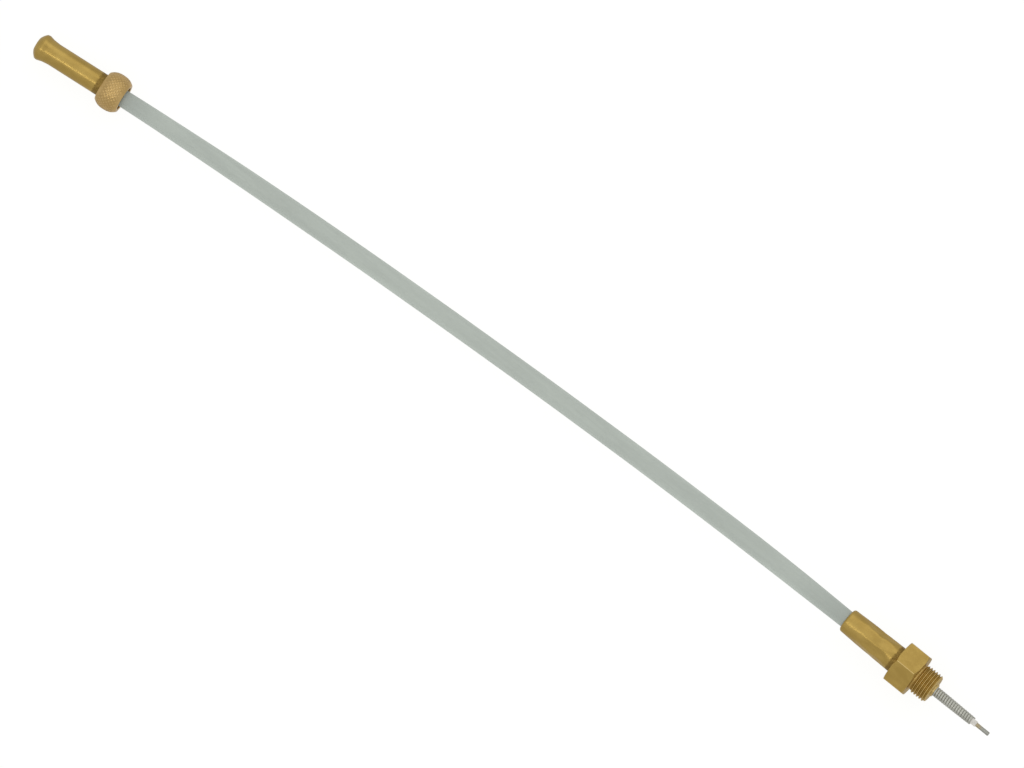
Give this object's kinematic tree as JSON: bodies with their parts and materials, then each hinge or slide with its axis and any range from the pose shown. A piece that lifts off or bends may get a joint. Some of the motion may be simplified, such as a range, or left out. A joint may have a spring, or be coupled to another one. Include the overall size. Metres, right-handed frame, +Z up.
{
  "type": "flame sensor probe",
  "caption": "Flame sensor probe on a grey sheathed lead, with a brass hex union and male thread at the probe and a captive knurled nut behind a domed lip at the far end.",
  "frame": {"origin": "centre of the hex face that seats against the burner, on the probe thread's axis", "axes": "+X along the probe axis towards the tip, +Z up with the lead lying on a surface below, and the lead leaving towards -X and bowing towards -Y"},
  "size_m": [0.3633, 0.031, 0.016],
  "materials": {
    "brass": "satin turned brass",
    "nut_brass": "knurled brass, slightly coppery",
    "contact_brass": "clean bright brass",
    "sheath": "satin grey, slightly green",
    "wound_steel": "drawn steel wire, dull",
    "spring_steel": "bright drawn wire",
    "electrode": "heat-tinted alloy rod",
    "ceramic": "unglazed alumina",
    "insulation": "white, waxy",
    "seal": "soft annealed copper",
    "packing": "pressed graphite",
    "conductor": "stranded copper"
  },
  "bodies": {
    "probe_and_lead": {"hex_union": "brass", "probe_ferrule": "brass", "nose_bush": "brass", "wound_sleeve": "wound_steel", "ceramic_insulator": "ceramic", "electrode_rod": "electrode", "seat_ring": "seal", "gland_packing": "packing", "splice_crimp": "contact_brass", "splice_sleeve": "insulation", "outer_sheath": "sheath", "spiral_liner": "wound_steel", "core_insulation": "insulation", "core_conductor": "conductor", "connector_ferrule": "brass", "support_sleeve": "contact_brass", "contact_insulator": "insulation", "contact_terminal": "contact_brass", "contact_spring": "spring_steel"},
    "contact": {"contact_plunger": "contact_brass"},
    "washer": {"slip_washer": "spring_steel"},
    "nut": {"knurled_nut": "nut_brass"}
  },
  "joints": [
    {"name": "nut_slide", "type": "slide", "parent": "probe_and_lead", "child": "washer", "axis": [0.9932, 0.1167, 0], "range_m": [-0.0256, 0.02]},
    {"name": "nut_spin", "type": "hinge", "parent": "washer", "child": "nut", "pos_m": [-0.30696, -0.01623, -0.0018], "axis": [0.9932, 0.1167, 0], "continuous": true},
    {"name": "contact_press", "type": "slide", "parent": "probe_and_lead", "child": "contact", "axis": [0.9932, 0.1167, 0], "range_m": [0, 0.0012], "stiffness_N_per_m": 500, "springref_m": -0.001, "deforming": ["contact_spring"]}
  ]
}
